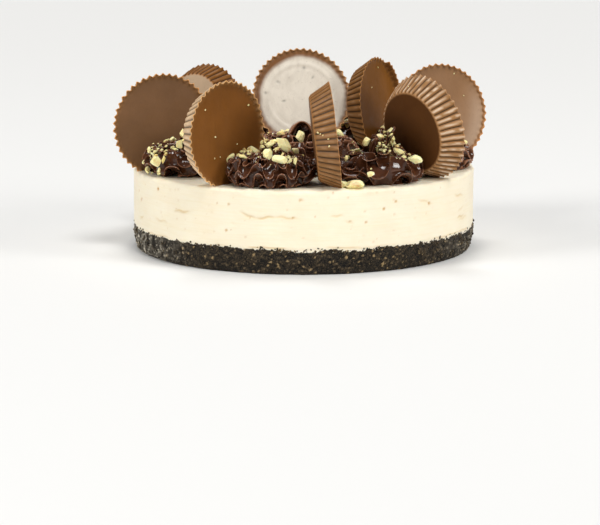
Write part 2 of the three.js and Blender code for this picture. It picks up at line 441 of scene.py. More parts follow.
def make_mousse():
    n, side = 820, 52
    z_low, z_edge = BASE_H - 1.6, TOP_Z - 1.6
    phi = np.arange(n) / n * 2 * math.pi
    zs = np.linspace(z_low, z_edge, side)
    a = np.linspace(0, math.pi / 2, 7)[1:]
    shoulder = [(CAKE_R - 1.6 + 1.6 * math.cos(t), z_edge + 1.6 * math.sin(t)) for t in a]
    top = [(r, TOP_Z) for r in list(np.arange(84.4, 66, -1.9)) + [62, 54, 42, 28, 12]]
    prof = [(CAKE_R - 3, z_low)] + [(CAKE_R, z) for z in zs] + shoulder + top
    prof = np.array(prof)
    P, R0 = np.meshgrid(phi, prof[:, 0])
    Z0 = np.repeat(prof[:, 1:2], n, 1)
    xyz = around(P, R0, Z0)
    on_wall = (np.arange(len(prof)) <= side + 6)[:, None] & (np.arange(len(prof)) >= 1)[:, None]
    on_wall = np.broadcast_to(on_wall, P.shape)
    # slow unevenness of the wall, finer pulls left by the ring, and the softened rim
    push = 0.22 * fbm(xyz / 22, 1, 3) + 0.07 * fbm(xyz / np.array([5, 5, 1.6]), 2, 3)
    s = (P + math.pi) % (2 * math.pi) - math.pi
    s = s * CAKE_R
    crease = np.zeros_like(P)
    speck = np.zeros_like(P)

    def near(s0, s1, z0, z1, pad):
        return (s > min(s0, s1) - pad) & (s < max(s0, s1) + pad) & (Z0 > min(z0, z1) - pad) & (Z0 < max(z0, z1) + pad) & on_wall

    rng = np.random.default_rng(11)
    lines = []
    for x0, y0, x1, y1, depth in PX_CREASES:
        (s0, z0), (s1, z1) = on_side(x0, y0), on_side(x1, y1)
        lines.append((s0, z0, s1, z1, depth))
    for _ in range(26):  # the same kind of folds where the photograph does not reach
        s0, z0, long = rng.uniform(80, 467), rng.uniform(17, 35), rng.uniform(4, 16)
        lines.append((s0, z0, s0 + long, z0 + rng.uniform(-1.5, 1.5), rng.uniform(0.2, 0.45)))
    for s0, z0, s1, z1, depth in lines:
        if s0 > math.pi * CAKE_R:
            s0, s1 = s0 - 2 * math.pi * CAKE_R, s1 - 2 * math.pi * CAKE_R
        m = near(s0, s1, z0, z1, 3)
        if not m.any():
            continue
        t = np.clip(((s[m] - s0) * (s1 - s0) + (Z0[m] - z0) * (z1 - z0)) / ((s1 - s0) ** 2 + (z1 - z0) ** 2), 0, 1)
        wav = 0.35 * np.sin(t * 9 + s0) * abs(s1 - s0) / 12
        d = (Z0[m] - (z0 + t * (z1 - z0)) - wav)
        away = np.abs(s[m] - (s0 + t * (s1 - s0)))
        fade = np.sin(np.pi * np.clip(t * 0.96 + 0.02, 0, 1)) ** 0.5 * np.exp(-((away / 0.8) ** 2))
        push[m] -= depth * fade * np.exp(-((d / 0.42) ** 2)) - 0.35 * depth * fade * np.exp(-(((d + 0.9) / 0.6) ** 2))
        # the crease mask also paints each crease tan: painted shade
        crease[m] = np.maximum(crease[m], 0.75 * fade * np.exp(-((d / 0.5) ** 2)) * min(1, depth / 0.5))
    dots = [(*on_side(x, y), r, k) for x, y, r, k in PX_SPECKS]
    for _ in range(230):
        dots.append((rng.uniform(-math.pi, math.pi) * CAKE_R, rng.uniform(15, 39.5), rng.uniform(0.25, 0.6), rng.uniform(0, 0.5) ** 1.5))
    for s0, z0, r, k in dots:
        m = near(s0, s0, z0, z0, 3 * r)
        d = np.hypot(s[m] - s0, Z0[m] - z0) / r
        push[m] -= 0.5 * r * np.exp(-((d * 1.1) ** 2))
        speck[m] = np.maximum(speck[m], k * np.exp(-((d * 0.9) ** 4)))
    # the lowest band draws in so that the crumbs show over it
    low = smooth(Z0 - wobble(P), BASE_H + 0.5, BASE_H - 0.8)
    # painted shadow: a thin tan line in patches along the foot of the mousse, just above the crumb line
    painted_shadow_line = on_wall * np.exp(-(((Z0 - wobble(P) - BASE_H - 0.45) / 0.35) ** 2)) * smooth(noise3(around(P, 5.0, 0 * P), 33), -0.1, 0.5)
    crease = np.maximum(crease, 0.75 * painted_shadow_line)
    rim = smooth(Z0, TOP_Z - 3, TOP_Z - 0.5)
    ringed = around(P, 14.0, 0 * P)
    push += rim * (0.35 * noise3(ringed, 3) + 0.22 * noise3(ringed * 3.1, 4) + 0.12 * noise3(ringed * 9, 8))
    R = np.where(on_wall, R0 + push - 0.3 * low, R0)
    lift = smooth(Z0, TOP_Z - 3, TOP_Z) * (0.3 * noise3(ringed, 13) + 0.15 * noise3(ringed * 3.7, 14))
    lift = np.where(R0 < CAKE_R - 4, 0.25 * fbm(xyz / 9, 15, 3), lift)
    xyz = around(P, R, Z0 + lift - 0.15)
    v, q, t = capped(xyz)
    pad = [0.0, 0.0]
    o = new_object("mousse_body", v, q, t, {"crease": np.concatenate([crease.ravel(), pad]), "speck": np.concatenate([speck.ravel(), pad])})
    o.data.materials.append(MOUSSE)
    return piece(o, "mousse", "mousse")


def make_base():
    n, rows = 1120, 34
    phi = np.arange(n) / n * 2 * math.pi
    rng = np.random.default_rng(3)
    zs = np.linspace(0, BASE_H + 1.4, rows)
    P, Z = np.meshgrid(phi, zs)
    wob = wobble(P)
    s = P * CAKE_R
    circ = 2 * math.pi * CAKE_R

    def cells(spacing, seed):
        r = np.random.default_rng(seed)
        count = int(circ * (BASE_H + 3) / spacing**2)
        pts = np.stack([r.uniform(0, circ, count), r.uniform(-1.5, BASE_H + 2.5, count)], -1)
        value = r.uniform(0, 1, count)
        extra = [(i, dx) for i in range(count) for dx in (-circ, circ) if 0 < pts[i, 0] + dx + 6 < circ + 12]
        kd = KDTree(count + len(extra))
        for i in range(count):
            kd.insert((pts[i, 0], pts[i, 1], 0), i)
        for k, (i, dx) in enumerate(extra):
            kd.insert((pts[i, 0] + dx, pts[i, 1], 0), count + k)
        kd.balance()
        owner = list(range(count)) + [i for i, _ in extra]
        f1, f2, val = np.zeros(s.size), np.zeros(s.size), np.zeros(s.size)
        for k, (a, b) in enumerate(zip(s.ravel(), Z.ravel())):
            near = kd.find_n((a, b, 0), 2)
            f1[k], f2[k] = near[0][2], near[1][2]
            val[k] = value[owner[near[0][1]]]
        return f1.reshape(s.shape), f2.reshape(s.shape), val.reshape(s.shape)

    a1, a2, av = cells(2.1, 21)
    b1, b2, bv = cells(0.95, 22)
    lump = (av - 0.35) * 0.75 * smooth(a2 - a1, 0, 0.9)
    grain = (0.2 + 0.8 * bv) * 0.5 * smooth(b2 - b1, 0, 0.45)
    foot = 1.1 * (1 - smooth(Z, 0, 0.7 * BASE_H)) + 0.8 * (1 - smooth(Z, 0, 1.3))
    over = Z - BASE_H - wob
    shrink = 0.35 * smooth(over, -1.6, 0.0) + 2.2 * smooth(over, -0.1, 0.55)
    xyz0 = around(P, CAKE_R, Z)
    R = CAKE_R - 0.25 + lump + grain - foot - shrink + 0.3 * fbm(xyz0 / 16, 9, 2)
    Zs = np.where(Z > BASE_H - 1, Z + 0 * wob, Z)
    xyz = around(P, R, Zs)
    tone = np.clip((0.06 + 0.94 * bv**2.6) * smooth(b2 - b1, 0, 0.5) + 0.25 * (av - 0.5), 0, 1)
    pale = (bv > 0.95) * smooth(b2 - b1, 0.05, 0.3) * 0.85
    flat = np.stack([around(phi, np.full(n, CAKE_R - 4.0), np.zeros(n))], 0)
    roof = np.stack([around(phi, np.full(n, CAKE_R - 5.0), np.full(n, BASE_H + 0.6))], 0)
    xyz = np.concatenate([flat, xyz, roof])
    v, q, t = capped(xyz)
    edge = np.zeros(n)
    tail = [0.0, 0.0]
    turn = (P + math.pi) % (2 * math.pi) - math.pi
    # painted light: the left end, and more weakly the right end, painted lighter and greyer as if lit from the side;
    # patches round the back lighter at random
    painted_light_and_dust = 1.0 * (smooth(-turn, 0.62, 1.12) * (1 - smooth(-turn, 1.6, 2.1)) + 0.4 * smooth(turn, 0.7, 1.3) + 0.5 * smooth(noise3(around(P, 1.6, 0 * P), 44), 0.35, 0.8) * (np.abs(turn) > 1.6))
    painted_light_and_dust = painted_light_and_dust * smooth(noise3(xyz0 / 3.0, 45), -0.8, 0.2)
    painted_light_and_dust = np.concatenate([edge, painted_light_and_dust.ravel(), edge, tail])
    tone = np.concatenate([edge, tone.ravel(), edge, tail])
    pale = np.concatenate([edge, pale.ravel(), edge, tail])
    o = new_object("crumb_base_body", v, q, t, {"tone": tone, "pale": pale, "painted_light_and_dust": painted_light_and_dust})
    o.data.materials.append(CRUMB)
    return piece(o, "crumb", "crumb_base")


# ---------------------------------------------------------------- cups
# node: centre of the wide face, heading and lift of that face, spin, pleat depth at the rim, and where and by
# how much the lip is taller than usual
CUPS = {
    "cup_left": ((-70.7, -17, 63.1), 23.4, 0, 0.2, 0.68, (0, 0, 0)),
    "cup_back_left": ((-51.4, 35, 63.0), 140, -8.4, 1.1, 0.5, (0, 0, 0)),
    "cup_front_left": ((-36.5, -65, 64.4), 48.9, 2.3, 0.5, 0.55, (0.9, 20, 95)),
    "cup_back": ((-0.9, 33, 72.0), 9, 18.5, 0.8, 0.55, (0, 0, 0)),
    "cup_front": ((15.2, -68, 64.4), 92, 6.5, 0.1, 0.5, (0, 0, 0)),
    "cup_back_right": ((40.7, 40, 66.0), 65, 7, 1.7, 0.5, (2.2, -45, 62)),
    "cup_front_right": ((60.8, -42, 65.8), 130, 11.6, 0.9, 0.6, (0, 0, 0)),
    "cup_right": ((70.2, 6, 65.8), 21, 6, 0.4, 0.45, (0, 0, 0)),
}
# all cups are one milk chocolate: the colours differ from cup to cup partly as painted light, with cup_back_left's pale
# face a painted reflection, cup_front_left's pale wall painted light from the left, cup_front_right's dark face painted
# shade, and each edge colour a painted highlight
CUP_LOOKS = {  # face, wall and edge colours, specular level
    "cup_left": (srgb(122, 88, 58), srgb(131, 88, 49), srgb(240, 174, 104), 0.42),
    "cup_back_left": (srgb(192, 165, 136), srgb(117, 73, 19), srgb(180, 122, 70), 0.12),
    "cup_front_left": (srgb(119, 74, 30), srgb(205, 176, 140), srgb(234, 178, 112), 0.25),
    "cup_back": (srgb(120, 78, 42), srgb(120, 80, 50), srgb(226, 172, 116), 0.35),
    "cup_front": (srgb(116, 78, 45), srgb(140, 99, 55), srgb(214, 150, 90), 0.25),
    "cup_back_right": (srgb(121, 77, 31), srgb(124, 86, 47), srgb(200, 142, 84), 0.06),
    "cup_front_right": (srgb(88, 54, 26), srgb(158, 117, 74), srgb(226, 166, 106), 0.18),
    "cup_right": (srgb(137, 99, 63), srgb(117, 80, 47), srgb(222, 158, 98), 0.35),
}
FACE_MARKS = {  # x, y in the frame, radius in mm: small pits in the wide face
    "cup_back": [(304, 68, 0.9), (278, 82, 0.9), (265.5, 93, 0.8), (284, 101, 0.7), (296, 97, 0.5), (313, 77, 0.6)],
}


def cup_matrix(at, heading, lift, spin):
    a, e = math.radians(heading), math.radians(lift)
    n = Vector((math.cos(e) * math.sin(a), -math.cos(e) * math.cos(a), math.sin(e)))
    u = Vector((math.cos(a), math.sin(a), 0))
    v = n.cross(u)
    m = Matrix((u, v, n)).transposed().to_4x4()
    m.translation = Vector(at)
    return m @ Matrix.Rotation(spin, 4, "Z")


def make_cup(node, k):
    at, heading, lift, spin, rim_depth, (extra, tall_from, tall_to) = CUPS[node]
    per = 10 if node == "cup_back" else 8
    n = FLUTES * per
    t = np.arange(n) / n * 2 * math.pi
    # (radius, height, share of the pleats, side, edge, share of the lip) from the middle of the narrow face out
    # to the rim and back to the middle of the wide face
    rows = [(r, -CUP_T, 0, 0, 0, 0) for r in (3, 9, 14, 18)]
    rows += [(19.0, -CUP_T, 0.1, 0.0, 0, 0), (19.6, -CUP_T + 0.02, 0.3, 0.1, 0.25, 0)]
    rows += [(19.95, -CUP_T + 0.16, 0.6, 0.6, 0.35, 0), (20.15, -CUP_T + 0.45, 0.85, 1, 0.15, 0)]
    for q in np.linspace(0.08, 0.965, 9):
        rows.append((CUP_FOOT_R + (CUP_R - CUP_FOOT_R) * q, -CUP_T * (1 - q), 1, 1, 0, smooth(q, 0.75, 1.0)))
    rows += [
        (CUP_R - 0.03, -0.16, 1, 1, 0.55, 1),
        (CUP_R - 0.06, -0.04, 1, 0.9, 1, 1),
        (CUP_R - 0.22, 0.0, 1, 0.6, 1, 1),
        (CUP_R - 0.4, -0.03, 1, 0.35, 1, 1),
        (CUP_R - 0.52, -0.16, 1, 0.2, 0.75, 1),
        (CUP_R - 0.66, -0.4, 0.95, 0.1, 0.4, 0.9),
        (CUP_R - 0.86, -0.66, 0.85, 0, 0.3, 0.55),
        (CUP_R - 1.2, -0.9, 0.65, 0, 0.2, 0.25),
        (CUP_R - 1.7, -1.06, 0.4, 0, 0.1, 0.08),
        (CUP_R - 2.4, -1.15, 0.2, 0, 0.04, 0),
        (CUP_R - 3.4, -1.19, 0.06, 0, 0, 0),
    ]
    within = (21.4, 20.2, 19, 18, 17, 16, 15, 14, 12.5, 11, 9.5, 8, 6, 4, 2) if node == "cup_back" else (21, 19, 16.5, 14, 11, 8, 5, 2)
    rows += [(r, -LIP_H, 0, 0, 0, 0) for r in within]
    rows = np.array([[float(c) for c in row] for row in rows])
    R0, Z0, share, side, edge, up = (np.repeat(rows[:, i : i + 1], n, 1) for i in range(6))
    T = np.broadcast_to(t, R0.shape)
    wide = np.broadcast_to((np.arange(len(rows)) >= len(rows) - 7 - len(within))[:, None], R0.shape)
    foot = np.broadcast_to((np.arange(len(rows)) < 6)[:, None], R0.shape)
    # at the rim a pleat is a wave with rounded hollows; down the wall broad ribs stand between thin grooves
    w = FLUTES * T + 0.5 * noise3(np.stack([np.cos(T) * 4, np.sin(T) * 4, T * 0 + k * 5.7], -1), 30 + k)
    wave = np.cos(w) + 0.16 * np.cos(2 * w)
    q = np.abs((w / math.pi) % 2 - 1)  # 1 on a rib, 0 in a groove
    ribs = 1 - 2 * (1 - q) ** 2.1
    down = np.clip(-Z0 / 1.6, 0, 1) * side
    zig = wave + (ribs - wave) * down
    depth = rim_depth + (FLUTE_FOOT + 0.17 - rim_depth) * np.clip(-Z0 / CUP_T, 0, 1) ** 0.8
    own = 1 + 0.24 * noise3(np.stack([np.cos(T) * 9, np.sin(T) * 9, T * 0 + k * 7.1], -1), 40 + k)
    lean = 0.010 * noise3(np.stack([np.cos(T) * 5, np.sin(T) * 5, Z0 * 0.15 + k], -1), 60 + k)
    nick = noise3(np.stack([np.cos(T) * 16, np.sin(T) * 16, Z0 * 0.8 + k * 3.3], -1), 80 + k)
    R = R0 + share * depth * own * zig - edge * 0.3 * np.clip(nick - 0.35, 0, 1)
    T2 = T + lean * side
    xy = np.stack([R * np.cos(T2), R * np.sin(T2), 0 * R], -1)
    inner = wide & (R0 < CUP_R - 1.2)
    dz = inner * (0.14 * fbm(xy / 12 + k * 5, 90 + k, 2) + 0.04 * fbm(xy / 2.6 + k, 95 + k, 2))
    dz = dz + (foot & (R0 < 19)) * (0.05 * fbm(xy / 9 + k * 3, 99 + k, 2))
    # the lip: its height wanders a little, and on two cups one stretch of it stands taller
    angle = np.degrees(T + spin) - tall_from
    angle = (angle + 360) % 360
    span = tall_to - tall_from
    tall = extra * smooth(angle, 0, 22) * (1 - smooth(angle, span - 5, span + 1)) * (angle <= span + 1)
    dz = dz + up * (tall + 0.14 * noise3(np.stack([np.cos(T) * 3, np.sin(T) * 3, T * 0 + k], -1), 70 + k))
    if node == "cup_back":
        dz = dz + inner * (0.34 * np.exp(-(((R0 - 17.8) / 0.8) ** 2)) - 0.16 * np.exp(-(((R0 - 16.2) / 0.8) ** 2)))
    Z = Z0 + dz - 0.1 * (1 - side) * foot
    mat = np.array(cup_matrix(at, heading, lift, spin))
    pits = np.zeros_like(R)
    inverse = Matrix(mat.tolist()).inverted()
    for px, py, size in FACE_MARKS.get(node, []):
        o, d = sight(px, py)
        o, d = inverse @ o, inverse.to_3x3() @ d
        h = o + d * ((-LIP_H - o.z) / d.z)
        away = np.hypot(xy[..., 0] - h.x, xy[..., 1] - h.y) / size
        pits = np.maximum(pits, inner * np.exp(-(away**2) * 1.2))
    Z = Z - 0.25 * pits
    loc = np.stack([R * np.cos(T2), R * np.sin(T2), Z], -1)
    v, quads, tri = capped(loc)
    v = v @ mat[:3, :3].T + mat[:3, 3]
    # painted shade down the grooves and in the pleat hollows of the lip's inner slope
    groove = smooth(-zig, -0.55, 0.85) * side * share * (0.55 + 0.45 * down)
    painted_lip_shade = np.clip((1 - zig) / 2, 0, 1) * share * (1 - side) * wide * (edge < 0.9)
    # crest: the crests of the ribs, where the painted highlight goes
    crest = smooth(zig, 0.55, 1.0)
    streaky = np.clip(0.5 + 1.1 * noise3(np.stack([np.cos(T) * 12, np.sin(T) * 12, Z0 * 0.5 + k * 2.1], -1), 85 + k), 0, 1)
    # flank: the sides of the ribs, painted darker as painted shade
    flank = np.clip(1 - np.abs(zig - 0.15) / 0.75, 0, 1) * side * share
    # painted highlight along the rim edge, stronger on the crests of the pleats
    painted_rim_highlight = np.clip(edge * (0.7 + 0.3 * crest), 0, 1)
    face_turn = T + spin
    # cup_back: a pale face out to a brown band at the rim, partly bloom and partly a painted reflection of the key
    # light
    bloom_and_sheen_edge = 23.5 + 1.5 * np.cos(face_turn + 0.8) + 0.5 * noise3(np.stack([np.cos(T) * 4, np.sin(T) * 4, 0 * T + k], -1), 66)
    bloom_and_sheen = inner * (1 - smooth(R0, bloom_and_sheen_edge - 2.0, bloom_and_sheen_edge + 0.6))
    # cup_right: paler towards the rim and one side, a painted highlight
    if node == "cup_right":
        bloom_and_sheen = inner * (0.2 + 0.8 * smooth(R0, 14, 23)) * smooth(np.cos(face_turn + 0.75), -0.1, 0.9)
    attrs = {"side": side, "edge": painted_rim_highlight, "groove": np.maximum(groove, 0.55 * painted_lip_shade), "bloom_and_sheen": bloom_and_sheen, "flank": flank, "pit": pits, "crest": crest * side * share * streaky}
    ends = {key: [0, 0] for key in attrs}
    ends["bloom_and_sheen"] = [0, 1]
    attrs = {key: np.concatenate([np.asarray(val, float).ravel(), ends[key]]) for key, val in attrs.items()}
    o = new_object(node + "_body", v, quads, tri, attrs)
    face, wall, rim_highlight, level = CUP_LOOKS[node]
    o.data.materials.append(chocolate(node, face, wall, rim_highlight, level, bloom_and_sheen={"cup_back": srgb(227, 218, 203), "cup_right": srgb(178, 148, 121)}.get(node), crest=0.8 if node == "cup_front_right" else 0.35, rib_highlight_colour=srgb(222, 198, 172) if node == "cup_front_right" else None))
    return piece(o, "bloomed_chocolate" if node == "cup_back" else "milk_chocolate", node)


# ---------------------------------------------------------------- swirls
# node: angle, ring radius, size, height, turn, then how the rope was piped: number of thin lips and how deep the
# hollows between them are, how far (radians) and how often (mm) the lips wave to and fro, how much the waves loop
# over, where the lips stand round the rope, at which length the waves start, how far each lip lags behind the next,
# and how unlike each other they are
SWIRLS = {
    "swirl_front_left": (-64.5, 66, 1.03, 1.0, 0.4, dict(fins=6, deep=0.46, sway=0.58, wave=17, loop=0.9, roll=0.5, shift=3, step=0.5, wild=0.3, seed=1)),
    "swirl_front": (-14.5, 65.5, 1.07, 0.98, 1.9, dict(fins=8, deep=0.45, sway=0.58, wave=11.3, loop=0.5, roll=0.35, shift=5.7, step=0.67, wild=0.24, seed=2)),
    "swirl_front_right": (34.5, 65.5, 1.05, 1.04, 3.1, dict(fins=5, deep=0.50, sway=0.78, wave=23, loop=1.2, roll=0.55, shift=9, step=0.8, wild=0.25, seed=3)),
    "swirl_right": (83, 66, 1.02, 0.98, 4.6, dict(fins=8, deep=0.44, sway=0.45, wave=11, loop=0.6, roll=0.2, shift=2, step=0.5, wild=0.2, seed=4)),
    "swirl_back_right": (122, 60, 0.88, 0.96, 0.9, dict(fins=7, deep=0.45, sway=0.48, wave=12, loop=0.6, roll=0.4, shift=0, step=0.5, wild=0.2, seed=5)),
    "swirl_back": (159, 65.5, 0.98, 1.0, 2.4, dict(fins=6, deep=0.47, sway=0.55, wave=15, loop=0.8, roll=0.5, shift=0, step=0.5, wild=0.25, seed=6)),
    "swirl_back_left": (208, 65.5, 0.98, 0.98, 3.8, dict(fins=8, deep=0.44, sway=0.46, wave=11.5, loop=0.6, roll=0.4, shift=5, step=0.6, wild=0.15, seed=7)),
    "swirl_left": (257, 65.5, 0.94, 1.0, 5.3, dict(fins=6, deep=0.47, sway=0.58, wave=17, loop=0.9, roll=0.4, shift=2, step=0.5, wild=0.25, seed=8)),
    "swirl_middle": (0, 1, 1.38, 1.02, 1.2, dict(fins=7, deep=0.46, sway=0.5, wave=16, loop=0.8, roll=0.5, shift=0, step=0.5, wild=0.25, seed=9, long=1.16)),
}
SWIRL_TRIANGLES = {"swirl_front": 84000, "swirl_front_right": 71000, "swirl_front_left": 58000, "swirl_middle": 54000}
# short ends of rope beside a swirl, where the bag was set down or pulled away: points x, y, z and radius
TAILS = {
    "swirl_front": [[(-9, -71, 47, 5.5), (-3.5, -72.5, 46.5, 5.8), (1.0, -71, 46.5, 5.2), (3.4, -66, 48, 4.5), (2.5, -60, 50, 4.0)]],
    "swirl_front_right": [[(31, -65, 46, 5.0), (26, -68, 45.6, 4.8), (21.8, -69, 45.6, 4.2), (18.6, -66.5, 46.6, 3.4)], [(36, -55, 55, 6.2), (39.5, -54.5, 60, 5.0), (42.5, -54, 63.6, 3.2), (44.6, -54, 66.4, 1.5)]],
    "swirl_middle": [[(-5.5, -3.2, 55.5, 4.8), (-1, -2.6, 58.2, 5.6), (3.6, -3.2, 55.5, 4.8)]],
}
# the end of the middle swirl stands up in a rolled arch: points of its middle line across and up, radius, from the
# front of the arch back
ARCH_LINE = [(-6.4, 51.5), (-6.7, 56.5), (-5.8, 60.2), (-3.5, 62.8), (-0.6, 63.6), (2.2, 62.4), (4.0, 59.4), (4.7, 55.4), (4.8, 50.5)]
ARCH_FROM, ARCH_TO, ARCH_THICK = -15.5, -4.5, 1.15


def swirl_path(node, ns=1000):
    """Middle line of a piped rope that coils up to a peak: points, outward and forward directions, radius, length."""
    angle, ring, size, height, turn, how = SWIRLS[node]
    turns = how.get("turns", 2.2)
    u = np.linspace(0, 1, ns)
    w = u * turns
    q = np.clip((w - 0.85) / (turns - 0.85), 0, 1)
    coil = 12.9 * size * (1 - q) ** 0.95
    rise = 6.6 + 9.0 * height * q + 0.5 * np.sin(w * 2.1 + how["seed"])
    rope = (7.9 - 2.0 * q) * (size if size < 1.2 else 0.5 + 0.5 * size)
    if size > 1.2:
        coil = (21.6 * size - rope * 1.02) * 0.98 * (1 - q) ** 1.1
        rise = rise * 1.02
    start = np.clip(u / 0.03, 0, 1)
    rope = rope * (0.3 + 0.7 * np.sqrt(1 - (1 - start) ** 2))
    tip = np.clip((u - 0.92) / 0.08, 0, 1)
    rope = rope * (1 - 0.62 * tip**1.5)
    rise = rise + 3.2 * height * tip
    ang = turn + 2 * math.pi * w
    ring_at = math.radians(angle)
    centre = np.array([ring * math.sin(ring_at), -ring * math.cos(ring_at), TOP_Z])
    er = np.stack([np.cos(ang), np.sin(ang) * how.get("long", 1.0), 0 * ang], -1)
    C = centre + er * coil[:, None] + np.array([0, 0, 1.0]) * rise[:, None]
    ahead = np.stack([-np.sin(ang), np.cos(ang), 0 * ang], -1)
    s = np.concatenate([[0], np.cumsum((coil[1:] + 0.95 * rope[1:]) * np.diff(ang))])
    return C, er, ahead, rope, s


def tail_path(points, ns=160):
    p = np.array(points, float)
    t = np.linspace(0, len(p) - 1, ns)
    i = np.clip(t.astype(int), 0, len(p) - 2)
    f = (t - i)[:, None]
    a, b, c, d = (p[np.clip(i + k, 0, len(p) - 1)] for k in (-1, 0, 1, 2))
    line = 0.5 * (2 * b + (c - a) * f + (2 * a - 5 * b + 4 * c - d) * f**2 + (3 * b - a - 3 * c + d) * f**3)
    C, rope = line[:, :3], line[:, 3]
    ahead = np.gradient(C, axis=0)
    ahead[:, 2] *= 0.3
    ahead /= np.linalg.norm(ahead, axis=1)[:, None]
    out = np.cross(ahead, [0, 0, 1.0])
    out /= np.linalg.norm(out, axis=1)[:, None]
    ends = np.sqrt(1 - (2 * np.linspace(0, 1, ns) - 1) ** 6)
    s = np.concatenate([[0], np.cumsum(np.linalg.norm(np.diff(C, axis=0), axis=1))])
    return C, out, ahead, rope * (0.25 + 0.75 * ends), s


def ruffled(path, how, size=1.0):
    """Rows of points round a rope whose thin lips wave to and fro over smooth hollows."""
    C, out, ahead, rope, s = path
    fins, seed, wild, wave = how["fins"], how["seed"], how["wild"], how["wave"]
    each = 24
    j = np.arange(fins * each)
    x = ((j % each) + 0.5) / each * 2 - 1
    x = np.sign(x) * np.abs(x) ** 1.8 / 2
    k = j // each
    S, F = np.meshgrid(s, (k + x) * 2 * math.pi / fins + how["roll"], indexing="ij")
    K = np.broadcast_to((k + fins // 2) % fins - fins // 2, S.shape)
    X = np.abs(np.broadcast_to(x, S.shape))
    pitch = 2 * math.pi * rope[:, None] / fins
    lip = 0.26
    off = np.clip(X * pitch - lip, 0, None)
    slope = np.clip(off / np.maximum(pitch / 2 - lip, 0.05), 0, 1)
    star = 0.66 * np.exp(-((off / 0.48) ** 1.5)) + 0.34 * (1 - slope) ** 2
    drift = wild * 5.0 * noise3(np.stack([S / (1.7 * wave), K * 3.7, 0 * S + seed], -1), 200 + seed)
    amp = 1 + 0.9 * wild * noise3(np.stack([S / (1.2 * wave), K * 1.9, 0 * S], -1), 210 + seed)
    phase = 2 * math.pi * (S + how["shift"]) / wave + how["step"] * K + drift
    swing = np.sin(phase)
    share = (0.10 + 0.90 * star) ** 0.7
    reach = 1 + 0.05 * noise3(np.stack([S / 8, K * 5.3, 0 * S], -1), 220 + seed) - 0.03 * (swing**2) * star
    rad = rope[:, None] * (1 - how["deep"] + how["deep"] * star) * reach
    A = F + how["sway"] * amp * swing * share
    along = -how["loop"] * np.sin(2 * phase) * share * np.clip(rope[:, None] / 6, 0, 1)
    P = C[:, None, :] + rad[..., None] * (np.cos(A)[..., None] * out[:, None, :] + np.sin(A)[..., None] * np.array([0, 0, 0.92]))
    P = P + ahead[:, None, :] * along[..., None]
    P[..., 2] = np.maximum(P[..., 2], TOP_Z - 0.25)
    return P


def arch_rows():
    """A thick rolled strip bent into an arch, as rows of points round it."""
    line = np.array(ARCH_LINE)
    t = np.linspace(0, len(line) - 1, 60)
    i = np.clip(t.astype(int), 0, len(line) - 2)
    f = (t - i)[:, None]
    a, b, c, d = (line[np.clip(i + k, 0, len(line) - 1)] for k in (-1, 0, 1, 2))
    mid = 0.5 * (2 * b + (c - a) * f + (2 * a - 5 * b + 4 * c - d) * f**2 + (3 * b - a - 3 * c + d) * f**3)
    ahead = np.gradient(mid, axis=0)
    ahead /= np.linalg.norm(ahead, axis=1)[:, None]
    outward = np.stack([-ahead[:, 1], ahead[:, 0]], -1)
    outward *= np.sign((outward * (mid - [-1.0, 54.0])).sum(1))[:, None]
    rows = []
    half = (ARCH_TO - ARCH_FROM) / 2
    for n, (m0, o0) in enumerate(zip(mid, outward)):
        g = n / (len(mid) - 1)
        ring = []
        for v in np.linspace(0, 2 * math.pi, 28, endpoint=False):
            y = math.cos(v)
            flare = 0.9 * max(0, -y) ** 3
            th = ARCH_THICK * (1 + 0.25 * math.sin(g * 9))
            r = th * math.sin(v) + flare + 0.5 * math.sin(g * 14 + 1) * max(0, -y) ** 2
            ring.append((m0[0] + o0[0] * r, (ARCH_FROM + ARCH_TO) / 2 + half * y * (0.94 + 0.12 * math.sin(g * 7)), m0[1] + o0[1] * r))
        rows.append(ring)
    return np.array(rows)


def relief(o, rounds):
    """How far each point stands out of (or lies below) the surface smoothed round it, in mm."""
    me = o.data
    n = len(me.vertices)
    co = np.zeros(n * 3)
    me.vertices.foreach_get("co", co)
    co = co.reshape(-1, 3) / MM
    no = np.zeros(n * 3)
    me.vertices.foreach_get("normal", no)
    e = np.zeros(len(me.edges) * 2, np.int32)
    me.edges.foreach_get("vertices", e)
    a, b = e.reshape(-1, 2).T
    count = np.maximum(np.bincount(a, minlength=n) + np.bincount(b, minlength=n), 1)
    p = co.copy()
    for _ in range(rounds):
        near = np.stack([np.bincount(a, p[b, c], n) + np.bincount(b, p[a, c], n) for c in range(3)], -1)
        p = 0.4 * p + 0.6 * near / count[:, None]
    return ((co - p) * no.reshape(-1, 3)).sum(1)


def tidied(o, least=300):
    """Takes out what remeshing and decimating leave: doubled points, pairs of triangles folded flat on each other, and
    shells of fewer triangles than least. What is left stays closed."""
    old = o.data
    old.calc_loop_triangles()
    v = np.zeros(len(old.vertices) * 3)
    old.vertices.foreach_get("co", v)
    t = np.zeros(len(old.loop_triangles) * 3, np.int32)
    old.loop_triangles.foreach_get("vertices", t)
    v, t = v.reshape(-1, 3), t.reshape(-1, 3)
    _, first, same = np.unique(np.round(v / 1e-6).astype(np.int64), axis=0, return_index=True, return_inverse=True)
    v, t = v[first], same.reshape(-1)[t]
    t = t[(t[:, 0] != t[:, 1]) & (t[:, 1] != t[:, 2]) & (t[:, 0] != t[:, 2])]
    _, one, count = np.unique(np.sort(t, axis=1), axis=0, return_index=True, return_counts=True)
    t = t[np.sort(one[count % 2 == 1])]
    label = np.arange(len(v))
    a, b = np.concatenate([t[:, :2], t[:, 1:]]).T
    while True:
        before = label.copy()
        low = np.minimum(label[a], label[b])
        np.minimum.at(label, a, low)
        np.minimum.at(label, b, low)
        label = label[label]
        if (label == before).all():
            break
    many = np.bincount(label[t[:, 0]], minlength=len(v))
    t = t[many[label[t[:, 0]]] >= least]
    used, t = np.unique(t, return_inverse=True)
    new = bpy.data.meshes.new(o.name)
    new.from_pydata(v[used].tolist(), [], t.reshape(-1, 3).tolist())
    new.update()
    o.data = new
    bpy.data.meshes.remove(old)
    new.name = o.name
    return o


